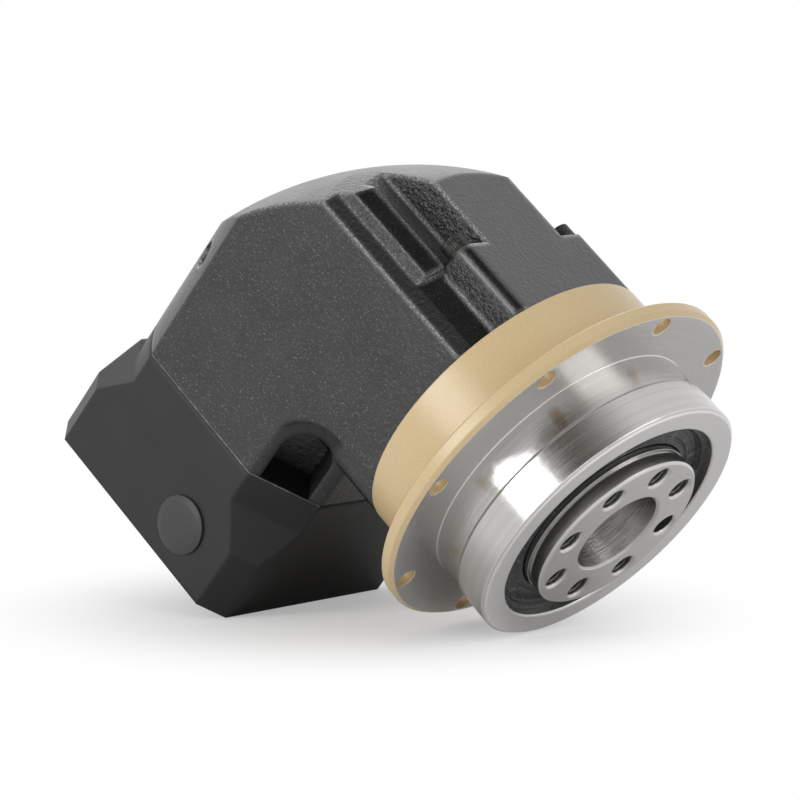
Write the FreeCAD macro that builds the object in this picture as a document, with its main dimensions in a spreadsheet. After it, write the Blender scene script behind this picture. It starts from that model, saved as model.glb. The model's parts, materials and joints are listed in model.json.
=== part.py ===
"""Right angle planetary gearbox: a pair of spiral bevel gears turns the drive into one planetary stage.

Frame: the origin is the centre of the mounting flange's front face, +X runs out along the output axis and
+Z is up. The motor hangs below, on an input axis that crosses the output axis at right angles.
Lengths are millimetres and angles are degrees.
"""
import FreeCAD, Part
import math
import os
import Sketcher

Vector = FreeCAD.Vector
Rotation = FreeCAD.Rotation
Placement = FreeCAD.Placement

doc = FreeCAD.newDocument("right_angle_gearbox")
sheet = doc.addObject("Spreadsheet::Sheet", "Sizes")

# Driving dimensions
DRIVING = {
    # Mounting flange and pilot
    "flange_dia": 86.0,
    "flange_thick": 3.5,
    "flange_bevel": 0.8,
    "flange_back_bevel": 0.4,
    "flange_hole_rim": 3.5,
    "flange_hole_dia": 4.5,
    "pilot_dia": 64.0,
    "pilot_relief": 0.6,
    "pilot_step": 7.3,
    "pilot_length": 16.5,
    "pilot_chamfer": 0.7,
    "pilot_inner_chamfer": 0.35,
    "ring_body_length": 14.2,
    "ring_fillet": 1.2,
    # Output flange
    "output_dia": 40.0,
    "output_stand": 2.8,
    "output_hole_rim": 4.25,
    "output_hole_dia": 5.0,
    "output_hole_depth": 10.0,
    "output_bore_dia": 20.0,
    "output_bore_depth": 17.0,
    "output_groove_depth": 0.7,
    "output_groove_width": 1.0,
    "output_disc_thick": 3.0,
    "edge_chamfer": 0.5,
    # Bearings
    "output_bearing_section": 6.0,
    "output_bearing_width": 7.0,
    "output_ball_dia": 4.0,
    "sun_bearing_bore": 15.0,
    "sun_bearing_dia": 28.0,
    "sun_bearing_width": 7.0,
    "sun_ball_dia": 4.2,
    "input_bearing_bore": 20.0,
    "input_bearing_dia": 37.0,
    "input_bearing_width": 9.0,
    "input_ball_dia": 5.6,
    "bearing_spacing": 0.8,
    "race_shoulder": 1.0,
    "race_gap": 0.07,
    "seat_shoulder": 1.2,
    "sun_collar_drop": 1.5,
    "cage_thick": 1.2,
    "clip_width": 1.2,
    "clip_depth": 0.9,
    "clip_reach": 1.6,
    "clip_gap": 6.4,
    # Seals
    "seal_dia": 53.0,
    "seal_width": 3.2,
    "seal_recess": 2.1,
    "seal_wall": 1.2,
    "seal_taper": 0.7,
    "lip_rise": 2.2,
    "lip_front": 0.4,
    "lip_crest": 0.85,
    "lip_edge": 0.25,
    "lip_back": 1.9,
    "input_seal_dia": 33.0,
    "input_seal_width": 4.2,
    "lip_gap": 0.08,
    # Planetary stage
    "ring_gear_dia": 56.0,
    "ring_gear_wall": 4.25,
    "ring_gear_overhang": 3.2,
    "planet_width": 10.5,
    "side_gap": 0.5,
    "flank_gap": 0.08,
    "plate_thick": 4.1,
    "rear_plate_thick": 3.6,
    "plate_gap": 0.6,
    "pin_dia": 6.0,
    "needle_dia": 1.44,
    "needle_gap": 0.08,
    "post_dia": 6.2,
    "post_gap": 1.35,
    # Bevel pair
    "bevel_module": 1.5,
    "bevel_face": 4.8,
    "bevel_flank_gap": 0.18,
    "bevel_nut_wall": 1.5,
    "bevel_nut_thick": 2.8,
    "bevel_bore": 13.0,
    "bevel_hub_dia": 20.0,
    "bevel_hub_length": 4.4,
    # Housing
    "side_wall": 2.0,
    "parting_step": 0.7,
    "parting_bevel": 0.5,
    "neck_chamfer": 12.1,
    "back_arc_offset": 4.0,
    "back_bulge": 7.2,
    "ball_centre_back": 20.5,
    "ball_centre_drop": 35.5,
    "ball_spare": 0.9,
    "flute_edge_drop": 9.0,
    "flute_foot_inset": 3.8,
    "flute_foot_drop": 7.4,
    "ledge_inset": 4.6,
    "ledge_drop": 5.0,
    "crest_offset": 3.9,
    "crest_drop": 2.6,
    "channel_offset": 3.2,
    "channel_drop": 4.6,
    "channel_inner": 5.3,
    "channel_taper": 0.5,
    "screw_stand_off": 3.452,
    "screw_seat_back": 37.0,
    "boss_dia": 6.6,
    "trough_gap": 1.5,
    "lower_trough_back": 46.0,
    "arch_front": 29.0,
    "arch_radius": 15.0,
    "pocket_middle": 5.8,
    "pocket_width": 11.6,
    "pocket_depth": 9.2,
    "pocket_spring": 9.3,
    "bevel_room": 3.6,
    "nut_gap": 1.4,
    "pinion_gap": 0.7,
    "wall_gap": 1.0,
    # Fasteners
    "ring_screw_dia": 3.0,
    "ring_screw_head_dia": 5.5,
    "ring_screw_head_height": 3.0,
    "ring_screw_length": 28.0,
    "ring_screw_socket": 2.5,
    "ring_screw_socket_depth": 1.6,
    "washer_lip": 1.3,
    "washer_thick": 0.8,
    "screw_dia": 4.0,
    "hole_gap": 0.4,
    "screw_head_dia": 7.0,
    "screw_head_height": 4.0,
    "screw_socket": 3.0,
    "screw_socket_depth": 2.2,
    "counterbore_gap": 0.5,
    "thread_spare": 0.5,
    "oil_plug_dia": 6.0,
    "oil_plug_length": 7.0,
    "oil_plug_recess": 1.2,
    "oil_hole_reach": 3.6,
    "oil_plug_drop": 16.0,
    "oil_plug_angle": 43.0,
    # Motor adapter
    "motor_drop": 72.0,
    "block_height": 15.0,
    "flare_height": 9.0,
    "block_chamfer": 5.0,
    "motor_pilot_dia": 50.0,
    "motor_pilot_depth": 3.0,
    "motor_hole_rim": 3.8909,
    "motor_hole_dia": 5.0,
    "motor_hole_depth": 13.0,
    "cavity_dia": 43.0,
    "nut_space_dia": 32.0,
    "spigot_gap": 0.05,
    "adapter_screw_rim": 4.3,
    "adapter_screw_seat": 12.0,
    "adapter_screw_length": 30.0,
    "access_rise": 10.0,
    "access_hole_dia": 11.5,
    "plug_lip": 0.65,
    "plug_crown": 0.5,
    "plug_crown_step": 0.3,
    "plug_crown_flat": 2.9,
    "plug_crown_edge": 5.1,
    "plug_rim": 0.5,
    "plug_depth": 5.0,
    # Input shaft
    "pinion_hub_dia": 23.0,
    "pinion_hub_length": 5.5,
    "input_nut_dia": 28.0,
    "input_nut_thick": 3.0,
    "nut_slot_depth": 0.5,
    "nut_slot_width": 3.2,
    "clamp_hub_dia": 17.6,
    "clamp_bore": 14.0,
    "clamp_bore_depth": 22.0,
    "clamp_hub_gap": 0.4,
    "clamp_slit": 1.0,
    "clamp_slit_depth": 13.6,
    "collar_dia": 36.0,
    "collar_width": 11.0,
    "collar_slit": 1.5,
    "clamp_screw_gap": 0.4,
    "clamp_head_depth": 8.0,
    "clamp_screw_length": 16.0,
}

# Counts and angles that the mesh of the teeth fixes
SUN_TEETH = 15
PLANET_TEETH = 15
RING_TEETH = 45
PLANETS = 3
BEVEL_TEETH = 20
PRESSURE_ANGLE = 20.0
PITCH_CONE = 45.0
SCREW_ANGLE = 56.41
BEVEL_TWIST = 13.0
BEVEL_SLICES = 4
FLANGE_HOLES = 8
OUTPUT_HOLES = 8
MOTOR_HOLES = 4
OUTPUT_BALLS = 16
SHAFT_BALLS = 10
NEEDLES = 14
# Tooth heights as shares of the module
ADDENDUM = 0.95
DEDENDUM = 1.25
RING_ADDENDUM = 0.75
# Share of a tooth's height where the arc of its flank is held to the involute
FLANK_MIDDLE = 0.55
# Share of a ball's width that its cage covers
CAGE_SHARE = 2 / 3
# Direction of a square's corner seen from its middle
CORNER_ANGLE = 45.0
# How much shorter a corner's face gets for each unit that all sides of a square move in
CORNER_INSET = 2 - math.sqrt(2)


class Size:
    """A length together with the expression that ties it to the sheet."""

    def __init__(self, value, text):
        self.value = value
        self.text = text

    def joined(self, other, sign, result):
        return Size(result, f"({self.text} {sign} {as_size(other).text})")

    def __add__(self, other):
        return self.joined(other, "+", self.value + as_size(other).value)

    def __sub__(self, other):
        return self.joined(other, "-", self.value - as_size(other).value)

    def __mul__(self, other):
        return self.joined(other, "*", self.value * as_size(other).value)

    def __truediv__(self, other):
        return self.joined(other, "/", self.value / as_size(other).value)

    def __neg__(self):
        return as_size(0.0) - self


def as_size(number):
    """A plain number as a Size, or a Size unchanged."""
    return number if isinstance(number, Size) else Size(float(number), f"{float(number):.10f}")


def size(name):
    """The driving dimension of that name."""
    return Size(DRIVING[name], f"Sizes.{name}")


for row, (name, number) in enumerate(DRIVING.items(), start=1):
    sheet.set(f"A{row}", str(number))
    sheet.setAlias(f"A{row}", name)
doc.recompute()

# Places along the output axis
JOINT = -(size("flange_thick") + size("ring_body_length"))
SEAL_FRONT = size("pilot_length") - size("seal_recess")
SEAL_BACK = SEAL_FRONT - size("seal_width")
FRONT_BEARING = SEAL_BACK - size("clip_width") - size("output_bearing_width")
REAR_BEARING = FRONT_BEARING - size("bearing_spacing") - size("output_bearing_width")
PLATE_FRONT = REAR_BEARING - size("plate_gap")
PLATE_BACK = PLATE_FRONT - size("plate_thick")
PLANET_FRONT = PLATE_BACK - size("side_gap")
PLANET_BACK = PLANET_FRONT - size("planet_width")
REAR_PLATE_FRONT = PLANET_BACK - size("side_gap")
REAR_PLATE_BACK = REAR_PLATE_FRONT - size("rear_plate_thick")
RING_GEAR_BACK = PLANET_BACK - size("ring_gear_overhang")
SUN_WALL = REAR_PLATE_BACK - size("wall_gap")
SUN_FRONT_BEARING = SUN_WALL - size("clip_width") - size("sun_bearing_width")
SUN_REAR_BEARING = SUN_FRONT_BEARING - size("bearing_spacing") - size("sun_bearing_width")
SEAT = -size("screw_seat_back")
BEVEL_PITCH = size("bevel_module") * (BEVEL_TEETH / 2)
BEVEL_BACK = SUN_REAR_BEARING - size("bevel_hub_length")
BEVEL_TIP = BEVEL_BACK - size("bevel_face")
BEVEL_NUT_END = BEVEL_TIP - size("bevel_nut_thick")
INPUT_X = BEVEL_BACK - BEVEL_PITCH

# Places along the input axis
PINION_BACK = -BEVEL_PITCH
PINION_TIP = PINION_BACK + size("bevel_face")
UPPER_BEARING_TOP = PINION_BACK - size("pinion_hub_length")
UPPER_BEARING = UPPER_BEARING_TOP - size("input_bearing_width")
LOWER_BEARING_TOP = UPPER_BEARING - size("bearing_spacing")
LOWER_BEARING = LOWER_BEARING_TOP - size("input_bearing_width")
PARTING = LOWER_BEARING - size("parting_step")
INPUT_NUT_BOTTOM = LOWER_BEARING - size("input_nut_thick")
NUT_SPACE_BOTTOM = INPUT_NUT_BOTTOM - size("wall_gap")
INPUT_SEAL_BOTTOM = NUT_SPACE_BOTTOM - size("input_seal_width")
CAVITY_TOP = INPUT_SEAL_BOTTOM - size("spigot_gap")
MOTOR_FACE = -size("motor_drop")
CLAMP_HUB_END = MOTOR_FACE + size("motor_pilot_depth") + size("clamp_hub_gap")
BLOCK_TOP = MOTOR_FACE + size("block_height")
FLARE_TOP = BLOCK_TOP + size("flare_height")
ACCESS = MOTOR_FACE + size("access_rise")
ADAPTER_SEAT = MOTOR_FACE + size("adapter_screw_seat")

# Planetary radii: the teeth fill the ring gear inside its wall
RING_GEAR = size("ring_gear_dia") / 2
MODULE = (RING_GEAR - size("ring_gear_wall")) / (RING_TEETH / 2 + DEDENDUM)
SUN_PITCH = MODULE * (SUN_TEETH / 2)
PLANET_PITCH = MODULE * (PLANET_TEETH / 2)
RING_PITCH = MODULE * (RING_TEETH / 2)
PLANET_CIRCLE = SUN_PITCH + PLANET_PITCH
RING_TIP = RING_PITCH - MODULE * RING_ADDENDUM
SUN_TIP = SUN_PITCH + MODULE * ADDENDUM
SUN_ROOT = SUN_PITCH - MODULE * DEDENDUM
NEEDLE_CIRCLE = size("pin_dia") / 2 + size("needle_gap") + size("needle_dia") / 2
PLANET_BORE = NEEDLE_CIRCLE + size("needle_dia") / 2

# Bearing and housing radii, and the corner screws that hold the ring gear housing
OUTPUT_BEARING = size("output_dia") / 2 + size("output_bearing_section")
BOSS = size("boss_dia") / 2
SCREW_CIRCLE = RING_GEAR + size("screw_stand_off")
SCREW_SIDE = SCREW_CIRCLE * math.cos(math.radians(SCREW_ANGLE))
SCREW_HEIGHT = SCREW_CIRCLE * math.sin(math.radians(SCREW_ANGLE))
RING_BODY = SCREW_CIRCLE + BOSS
SIDE = RING_GEAR + size("side_wall")
TOP = SCREW_HEIGHT + BOSS
FLUTE_EDGE = SCREW_HEIGHT - size("flute_edge_drop")
BACK_ARC = SIDE + size("back_bulge")
BACK_ARC_X = INPUT_X + size("back_arc_offset")
BACK_FACE = INPUT_X - SIDE
ACCESS_X = INPUT_X + size("clamp_hub_dia") / 2 + size("screw_dia") / 2 + size("clamp_screw_gap")

TURNS = {"X": Rotation(), "Y": Rotation(Vector(0, 0, 1), 90), "Z": Rotation(Vector(0, 1, 0), -90)}
ROUND_TURNS = {"X": Rotation(Vector(0, 1, 0), 90), "Y": Rotation(Vector(1, 0, 0), -90), "Z": Rotation()}


def bind(thing, prop, length):
    """Tie one property to the sheet."""
    thing.setExpression(prop, as_size(length).text)


def place(thing, base, turn=Rotation()):
    """Turn a thing and tie its base point to the sheet."""
    thing.Placement = Placement(Vector(), turn)
    for letter, length in zip("xyz", base):
        bind(thing, f"Placement.Base.{letter}", length)


def outline(body, role, points, label):
    """A closed sketch through the points, each held by two distances that follow the sheet."""
    sketch = body.newObject("Sketcher::SketchObject", label)
    plane = [feature for feature in body.Origin.OriginFeatures if feature.Role == role][0]
    sketch.AttachmentSupport = [(plane, "")]
    sketch.MapMode = "FlatFace"
    points = [(as_size(first), as_size(second)) for first, second in points]
    spots = [Vector(first.value, second.value, 0) for first, second in points]
    count = len(points)
    for i in range(count):
        sketch.addGeometry(Part.LineSegment(spots[i], spots[(i + 1) % count]), False)
    for i in range(count):
        sketch.addConstraint(Sketcher.Constraint("Coincident", i, 2, (i + 1) % count, 1))
    for i, point in enumerate(points):
        for kind, length in zip(("DistanceX", "DistanceY"), point):
            held = sketch.addConstraint(Sketcher.Constraint(kind, -1, 1, i, 1, length.value))
            bind(sketch, f"Constraints[{held}]", length)
    return sketch


def turned(label, profile, axis="X", centre=(0, 0, 0)):
    """A piece turned on a lathe: the profile's points are (place along the axis, radius)."""
    body = doc.addObject("PartDesign::Body", label)
    sketch = outline(body, "XZ_Plane", profile, f"{label}_profile")
    turning = body.newObject("PartDesign::Revolution", f"{label}_turning")
    turning.Profile = sketch
    turning.ReferenceAxis = (sketch, ["H_Axis"])
    turning.Angle = 360
    place(body, centre, TURNS[axis])
    return body


def prism(label, points, role, start, length):
    """A piece of constant section: an outline on an origin plane, moved to start and padded."""
    body = doc.addObject("PartDesign::Body", label)
    sketch = outline(body, role, points, f"{label}_outline")
    pad = body.newObject("PartDesign::Pad", f"{label}_pad")
    pad.Profile = sketch
    bind(pad, "Length", length)
    along = {"YZ_Plane": (start, 0, 0), "XY_Plane": (0, 0, start)}[role]
    place(body, along)
    return body


def rod(label, dia, start, end, axis="X", centre=(0, 0)):
    """A plain cylinder from start to end along an axis, centred on the two other coordinates."""
    thing = doc.addObject("Part::Cylinder", label)
    bind(thing, "Radius", as_size(dia) / 2)
    bind(thing, "Height", as_size(end) - start)
    first, second = centre
    base = {"X": (start, first, second), "Y": (first, start, second), "Z": (first, second, start)}[axis]
    place(thing, base, ROUND_TURNS[axis])
    return thing


def block(label, low, high):
    """A box between two corners."""
    thing = doc.addObject("Part::Box", label)
    for prop, first, last in zip(("Length", "Width", "Height"), low, high):
        bind(thing, prop, as_size(last) - first)
    place(thing, low)
    return thing


def hexagon(label, flats, start, end, axis, centre):
    """A hexagonal bar across flats, from start to end along an axis."""
    thing = doc.addObject("Part::Prism", label)
    thing.Polygon = 6
    bind(thing, "Circumradius", as_size(flats) / (2 * math.cos(math.radians(30))))
    bind(thing, "Height", as_size(end) - start)
    first, second = centre
    base = {"X": (start, first, second), "Y": (first, start, second), "Z": (first, second, start)}[axis]
    place(thing, base, ROUND_TURNS[axis])
    return thing


def fused(label, things):
    """The union of several things."""
    union = doc.addObject("Part::MultiFuse", label)
    union.Shapes = things
    union.Refine = True
    return union


def common(label, first, second):
    """What two things share."""
    shared = doc.addObject("Part::Common", label)
    shared.Base = first
    shared.Tool = second
    return shared


def cut(label, base, tools):
    """A base less one tool or several."""
    rest = doc.addObject("Part::Cut", label)
    rest.Base = base
    rest.Tool = tools[0] if len(tools) == 1 else fused(f"{label}_tools", tools)
    return rest


def group(label, things):
    """Separate solids that share one node."""
    together = doc.addObject("Part::Compound", label)
    together.Links = things
    return together


def on_circle(radius, angle):
    """The two coordinates of a place on a circle about an axis."""
    turn = math.radians(angle)
    return radius * math.cos(turn), radius * math.sin(turn)


def ring(label, inner, outer, start, end, axis="X", centre=(0, 0, 0)):
    """A plain ring of rectangular section; inner and outer are radii."""
    return turned(label, [(start, inner), (end, inner), (end, outer), (start, outer)], axis, centre)


# Tooth outlines

def involute_point(base, radius):
    """Angle swept by an involute of that base radius where it reaches the radius."""
    ratio = min(1.0, base / radius)
    swept = math.acos(ratio)
    return math.tan(swept) - swept


def tooth_half_angle(pitch, teeth, radius, thinning):
    """Half the angle that a tooth covers at a radius; thinning is taken off each flank at the pitch circle."""
    base = pitch * math.cos(math.radians(PRESSURE_ANGLE))
    half = math.pi / (2 * teeth) - thinning / pitch
    return half + involute_point(base, pitch) - involute_point(base, max(radius, base))


def gear_wire(teeth, flank, turn):
    """Closed outline of a gear in its plane.

    flank(share) gives the radius, half angle and lean of a tooth's flank, from the root at 0 to the tip at 1.
    Each flank is an arc through its two ends and its middle; tip and root lands are arcs about the centre.
    """
    pitch_angle = 2 * math.pi / teeth
    marks = [flank(share) for share in (0.0, FLANK_MIDDLE, 1.0)]

    def spot(mark, side, middle):
        radius, half, lean = mark
        angle = middle + side * half + lean
        return Vector(radius * math.cos(angle), radius * math.sin(angle), 0)

    edges = []
    for i in range(teeth):
        middle = turn + i * pitch_angle
        rising = [spot(mark, -1, middle) for mark in marks]
        falling = [spot(mark, 1, middle) for mark in reversed(marks)]
        crown = spot(marks[-1], 0, middle)
        following = spot(marks[0], -1, middle + pitch_angle)
        valley = spot(marks[0], 0, middle + pitch_angle / 2)
        edges.append(Part.Arc(*rising).toShape())
        edges.append(Part.Arc(rising[-1], crown, falling[0]).toShape())
        edges.append(Part.Arc(*falling).toShape())
        edges.append(Part.Arc(falling[-1], valley, following).toShape())
    return Part.Wire(edges)


def spur_flank(pitch, teeth, root, tip, thinning):
    """Flank of a spur tooth: an involute above the base circle and a radial line below it."""
    def flank(share):
        radius = root + (tip - root) * share
        return radius, tooth_half_angle(pitch, teeth, radius, thinning), 0.0
    return flank


def toothed(label, wires, start, length):
    """A toothed slab along X, outer outline first and any hole after it."""
    face = Part.makeFace(wires, "Part::FaceMakerBullseye")
    solid = face.extrude(Vector(0, 0, length.value))
    gear = doc.addObject("Part::Feature", label)
    gear.Shape = solid
    gear.Placement = Placement(Vector(start.value, 0, 0), Rotation(Vector(1, 1, 1), 120))
    return gear


def circle_wire(radius):
    """A circle about the axis as a wire."""
    return Part.Wire(Part.makeCircle(radius.value))


def external_gear_wire(pitch, teeth, turn, thinning):
    """Outline of an external spur gear; turn is the direction of one tooth's middle."""
    module = MODULE.value
    root = pitch.value - DEDENDUM * module
    tip = pitch.value + ADDENDUM * module
    return gear_wire(teeth, spur_flank(pitch.value, teeth, root, tip, thinning), math.radians(turn))


def internal_gear_wire(pitch, teeth, turn, thinning):
    """Outline of the hollow of an internal gear, which is a gear whose teeth are the ring's spaces."""
    module = MODULE.value
    inner = pitch.value - RING_ADDENDUM * module
    outer = pitch.value + DEDENDUM * module
    return gear_wire(teeth, spur_flank(pitch.value, teeth, inner, outer, -thinning), math.radians(turn))


def bevel_flank(scale, hand):
    """Flank of a spiral bevel tooth in the plane at that share of the pitch cone's length.

    The tooth is drawn as a spur tooth on the unrolled back cone and then seen from the apex in the plane. It
    leans round the axis in step with the distance from the apex, so two such gears roll together everywhere.
    """
    slope = math.radians(PITCH_CONE)
    pitch = BEVEL_PITCH.value
    module = size("bevel_module").value
    thinning = size("bevel_flank_gap").value / 2
    cone_pitch = pitch / math.cos(slope)
    cone_teeth = BEVEL_TEETH / math.cos(slope)
    lean_rate = hand * math.radians(BEVEL_TWIST) * math.cos(slope) / size("bevel_face").value

    def flank(share):
        height = module * (-DEDENDUM + (DEDENDUM + ADDENDUM) * share)
        half = tooth_half_angle(cone_pitch, cone_teeth, cone_pitch + height, thinning)
        rise = height * math.cos(slope)
        drop = height * math.sin(slope)
        radius = pitch * (pitch + rise) / (pitch - drop)
        lean = lean_rate * (cone_pitch - scale * math.hypot(pitch, radius))
        return radius * scale, half / math.cos(slope), lean
    return flank


def spiral_bevel(turn, hand):
    """A bevel gear's teeth with the apex at the origin and the axis along +Z; hand is +1 or -1."""
    slices = []
    for i in range(BEVEL_SLICES + 1):
        distance = BEVEL_PITCH.value - size("bevel_face").value * i / BEVEL_SLICES
        section = gear_wire(BEVEL_TEETH, bevel_flank(distance / BEVEL_PITCH.value, hand), math.radians(turn))
        section.translate(Vector(0, 0, distance))
        slices.append(section)
    return Part.makeLoft(slices, True, True)


def bearing(name, axis, start, bore, outer, width, ball, balls, centre=(0, 0, 0)):
    """A deep groove ball bearing: outer ring, inner ring, and balls with their cage."""
    end = start + width
    middle = start + width / 2
    pitch = (bore + outer) / 4
    along = {"X": 0, "Z": 2}[axis]
    spot = [as_size(value) for value in centre]
    spot[along] = spot[along] + middle
    race = {}
    for side in ("outer", "inner"):
        race[side] = doc.addObject("Part::Torus", f"{name}_{side}_race")
        bind(race[side], "Radius1", pitch)
        bind(race[side], "Radius2", ball / 2 + size("race_gap"))
        place(race[side], spot, ROUND_TURNS[axis])
    shoulder = size("race_shoulder")
    outer_blank = ring(f"{name}_outer_blank", pitch + shoulder, outer / 2, start, end, axis, centre)
    inner_blank = ring(f"{name}_inner_blank", bore / 2, pitch - shoulder, start, end, axis, centre)
    cut(f"{name}_outer_ring", outer_blank, [race["outer"]])
    cut(f"{name}_inner_ring", inner_blank, [race["inner"]])
    spheres = []
    for i in range(balls):
        first, second = on_circle(pitch, 360 * i / balls)
        sphere = doc.addObject("Part::Sphere", f"{name}_ball_{i}")
        bind(sphere, "Radius", ball / 2)
        offset = {"X": (0, first, second), "Z": (first, second, 0)}[axis]
        place(sphere, [here + there for here, there in zip(spot, offset)])
        spheres.append(sphere)
    half = size("cage_thick") / 2
    reach = ball * (CAGE_SHARE / 2)
    cage_blank = ring(f"{name}_cage_blank", pitch - half, pitch + half, middle - reach, middle + reach, axis,
                      centre)
    cage = cut(f"{name}_cage", cage_blank, spheres)
    group(f"{name}_balls", spheres + [cage])


def circlip(label, bore, start, axis="X", centre=(0, 0, 0)):
    """An internal circlip in its groove: a ring with a gap at one side."""
    end = start + size("clip_width")
    outer = bore / 2 + size("clip_depth")
    inner = bore / 2 - size("clip_reach")
    whole = ring(f"{label}_blank", inner, outer, start, end, axis, centre)
    half_gap = size("clip_gap") / 2
    spare = size("clip_reach")
    middle = as_size(centre[0])
    if axis == "X":
        low = (start - spare, -half_gap, -(outer + spare))
        high = (end + spare, half_gap, -(inner - spare))
    else:
        low = (middle - outer - spare, -half_gap, start - spare)
        high = (middle - inner + spare, half_gap, end + spare)
    gap = block(f"{label}_gap", low, high)
    cut(label, whole, [gap])


def cap_screw(label, kind, seat, length, axis, centre, out):
    """A socket cap screw of a kind in the sheet. Its head lies on the side that out points to, +1 or -1."""
    head_end = as_size(seat) + size(f"{kind}_head_height") * out
    tip = as_size(seat) - as_size(length) * out
    socket_end = head_end - size(f"{kind}_socket_depth") * out
    spans = [sorted(pair, key=lambda place: as_size(place).value)
             for pair in ((seat, head_end), (tip, seat), (socket_end, head_end))]
    head = rod(f"{label}_head", size(f"{kind}_head_dia"), *spans[0], axis, centre)
    shank = rod(f"{label}_shank", size(f"{kind}_dia"), *spans[1], axis, centre)
    socket = hexagon(f"{label}_socket", size(f"{kind}_socket"), *spans[2], axis, centre)
    return cut(label, fused(f"{label}_blank", [head, shank]), [socket])


# Ring gear housing: one turned steel piece with the flange, the pilot and the seats inside

def ring_screw_places():
    """The four corner screws, as (side, height)."""
    return [(SCREW_SIDE * y, SCREW_HEIGHT * z) for y in (-1, 1) for z in (-1, 1)]


def make_ring_gear_housing():
    flange = size("flange_dia") / 2
    bevel = size("flange_bevel")
    back_bevel = size("flange_back_bevel")
    fillet = size("ring_fillet")
    back = -size("flange_thick")
    pilot = size("pilot_dia") / 2
    root = pilot - size("pilot_relief")
    step = size("pilot_step")
    rim = size("pilot_length")
    chamfer = size("pilot_chamfer")
    inner_chamfer = size("pilot_inner_chamfer")
    seal = size("seal_dia") / 2
    groove = OUTPUT_BEARING + size("clip_depth")
    groove_back = SEAL_BACK - size("clip_width")
    relief = OUTPUT_BEARING - size("seat_shoulder")
    gear_front = PLATE_BACK - size("plate_gap")
    blank = turned("ring_gear_housing_blank", [
        (JOINT, RING_GEAR), (JOINT, RING_BODY), (back - fillet, RING_BODY), (back, RING_BODY + fillet),
        (back, flange - back_bevel), (back + back_bevel, flange), (-bevel, flange), (0, flange - bevel),
        (0, root), (step, root), (step + (pilot - root), pilot), (rim - chamfer, pilot), (rim, pilot - chamfer),
        (rim, seal + inner_chamfer), (rim - inner_chamfer, seal), (SEAL_BACK, seal), (SEAL_BACK, groove),
        (groove_back, groove), (groove_back, OUTPUT_BEARING), (REAR_BEARING, OUTPUT_BEARING),
        (REAR_BEARING, relief), (gear_front, relief), (gear_front, RING_GEAR)])
    holes = []
    hole_circle = flange - size("flange_hole_rim")
    for i in range(FLANGE_HOLES):
        place_yz = on_circle(hole_circle, 360 * i / FLANGE_HOLES)
        holes.append(rod(f"flange_hole_{i}", size("flange_hole_dia"), JOINT, 0, "X", place_yz))
    thread_end = SEAT - size("washer_thick") + size("ring_screw_length") + size("thread_spare")
    for i, place_yz in enumerate(ring_screw_places()):
        holes.append(rod(f"ring_thread_{i}", size("ring_screw_dia"), JOINT, thread_end, "X", place_yz))
    cut("ring_gear_housing", blank, holes)


# Output flange, one piece with the front planet plate and the posts that carry the rear plate

PLANET_ANGLES = [90 + 360 * i / PLANETS for i in range(PLANETS)]


def make_output():
    shaft = size("output_dia") / 2
    face = size("pilot_length") + size("output_stand")
    edge = size("edge_chamfer")
    bore = size("output_bore_dia") / 2
    disc_back = face - size("output_disc_thick")
    groove_back = disc_back - size("output_groove_width")
    groove = shaft - size("output_groove_depth")
    bore_end = face - size("output_bore_depth")
    plate = OUTPUT_BEARING - size("seat_shoulder") - size("plate_gap")
    shoulder = (shaft + OUTPUT_BEARING) / 2 - size("race_shoulder")
    blank = turned("output_blank", [
        (PLATE_BACK, 0), (PLATE_BACK, plate), (PLATE_FRONT, plate), (PLATE_FRONT, shoulder),
        (REAR_BEARING, shoulder), (REAR_BEARING, shaft), (groove_back, shaft), (groove_back, groove),
        (disc_back, groove), (disc_back, shaft), (face - edge, shaft), (face, shaft - edge),
        (face, bore + edge), (face - edge, bore), (bore_end, bore), (bore_end, 0)])
    posts = []
    post_circle = RING_TIP - size("post_gap") - size("post_dia") / 2
    for i, angle in enumerate(PLANET_ANGLES):
        place_yz = on_circle(post_circle, angle + 180 / PLANETS)
        posts.append(rod(f"carrier_post_{i}", size("post_dia"), REAR_PLATE_FRONT, PLATE_BACK, "X", place_yz))
    holes = []
    hole_end = face - size("output_hole_depth")
    for i in range(OUTPUT_HOLES):
        first, second = on_circle(shaft - size("output_hole_rim"), 360 * i / OUTPUT_HOLES)
        holes.append(rod(f"output_hole_{i}", size("output_hole_dia"), hole_end, face, "X", (first, second)))
        chamfer = doc.addObject("Part::Cone", f"output_hole_chamfer_{i}")
        bind(chamfer, "Radius1", size("output_hole_dia") / 2)
        bind(chamfer, "Radius2", size("output_hole_dia") / 2 + edge)
        bind(chamfer, "Height", edge)
        place(chamfer, (face - edge, first, second), ROUND_TURNS["X"])
        holes.append(chamfer)
    pin_seat = PLATE_FRONT - size("edge_chamfer")
    for i, angle in enumerate(PLANET_ANGLES):
        place_yz = on_circle(PLANET_CIRCLE, angle)
        holes.append(rod(f"front_pin_seat_{i}", size("pin_dia"), PLATE_BACK, pin_seat, "X", place_yz))
    cut("output_carrier", fused("output_body", [blank] + posts), holes)
    sun_hole = SUN_TIP + size("wall_gap")
    plate_blank = ring("carrier_plate_blank", sun_hole, RING_TIP - size("plate_gap"), REAR_PLATE_BACK,
                       REAR_PLATE_FRONT)
    pins = []
    seats = []
    pin = size("pin_dia")
    for i, angle in enumerate(PLANET_ANGLES):
        place_yz = on_circle(PLANET_CIRCLE, angle)
        pins.append(rod(f"planet_pin_{i}", pin, REAR_PLATE_BACK, pin_seat, "X", place_yz))
        seats.append(rod(f"rear_pin_seat_{i}", pin, REAR_PLATE_BACK, REAR_PLATE_FRONT, "X", place_yz))
    cut("carrier_plate", plate_blank, seats)
    group("planet_pins", pins)


# Planetary gears: a tooth of the sun and a space of the ring point at each planet

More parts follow.
